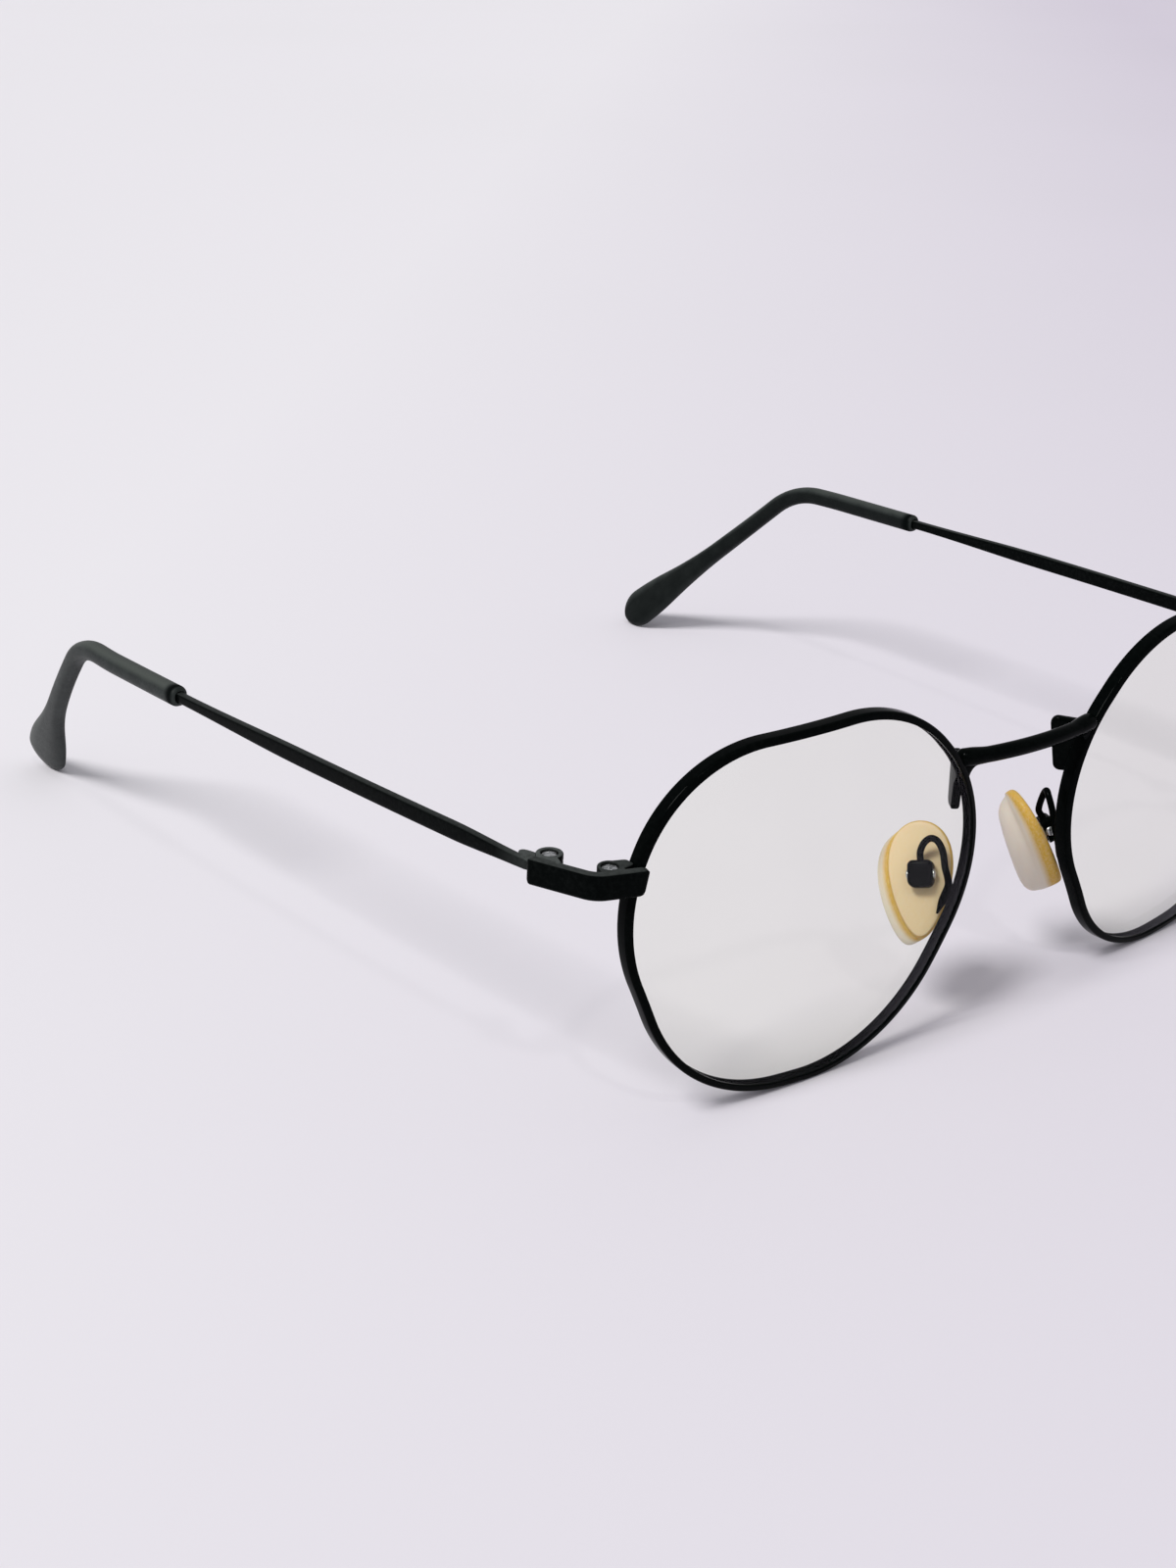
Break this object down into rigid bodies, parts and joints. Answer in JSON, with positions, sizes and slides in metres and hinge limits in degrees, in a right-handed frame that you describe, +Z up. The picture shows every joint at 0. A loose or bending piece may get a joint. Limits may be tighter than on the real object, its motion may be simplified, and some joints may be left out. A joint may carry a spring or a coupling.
{
  "type": "eyeglasses",
  "caption": "Thin metal eyeglasses with polygonal clear lenses, a curved bridge, rocking nose pads and folding temples with rubber tips.",
  "frame": {"origin": "middle of the footprint, on the surface that the glasses stand on", "axes": "+X to the wearer's left, +Y back along the temples, +Z up"},
  "size_m": [0.1408, 0.1482, 0.0469],
  "materials": {
    "rim_lacquer": "gloss black lacquer",
    "satin_lacquer": "satin black lacquer",
    "temple_lacquer": "semi-gloss black lacquer",
    "fine_wire": "black lacquered wire",
    "screw_steel": "darkened steel",
    "lens": "clear, polished",
    "pad_core": "yellowed plastic",
    "pad_silicone": "translucent aged silicone",
    "tip_rubber": "matte dark grey-green"
  },
  "bodies": {
    "front": {"rim_right": "rim_lacquer", "rim_left": "rim_lacquer", "lens_right": "lens", "lens_left": "lens", "bridge": "rim_lacquer", "bridge_lug_right": "rim_lacquer", "bridge_lug_left": "rim_lacquer", "pad_arm_right": "fine_wire", "pad_arm_left": "fine_wire", "pad_box_right": "fine_wire", "pad_box_left": "fine_wire", "pad_screw_right": "screw_steel", "pad_screw_left": "screw_steel", "endpiece_right": "satin_lacquer", "endpiece_left": "satin_lacquer", "closing_block_right": "satin_lacquer", "closing_block_left": "satin_lacquer", "rim_screw_right": "screw_steel", "rim_screw_left": "screw_steel", "hinge_front_right": "satin_lacquer", "hinge_front_left": "satin_lacquer", "hinge_screw_right": "screw_steel", "hinge_screw_left": "screw_steel"},
    "pad_right": {"nose_pad_right": "pad_silicone", "pad_core_right": "pad_core"},
    "pad_left": {"nose_pad_left": "pad_silicone", "pad_core_left": "pad_core"},
    "temple_right": {"hinge_temple_right": "satin_lacquer", "temple_right": "temple_lacquer", "temple_tip_right": "tip_rubber"},
    "temple_left": {"hinge_temple_left": "satin_lacquer", "temple_left": "temple_lacquer", "temple_tip_left": "tip_rubber"}
  },
  "joints": [
    {"name": "temple_right_fold", "type": "hinge", "parent": "front", "child": "temple_right", "pos_m": [-0.06502, -0.05996, 0.03356], "axis": [0, 0, -1], "range_deg": [0, 90]},
    {"name": "temple_left_fold", "type": "hinge", "parent": "front", "child": "temple_left", "pos_m": [0.06502, -0.05996, 0.03356], "axis": [0, 0, 1], "range_deg": [0, 84]},
    {"name": "pad_right_rock", "type": "hinge", "parent": "front", "child": "pad_right", "pos_m": [-0.01174, -0.06652, 0.02017], "axis": [0.5569, -0.8108, 0.1804], "range_deg": [-3, 6]},
    {"name": "pad_left_rock", "type": "hinge", "parent": "front", "child": "pad_left", "pos_m": [0.01174, -0.06652, 0.02017], "axis": [0.5569, 0.8108, -0.1804], "range_deg": [-3, 6]}
  ]
}
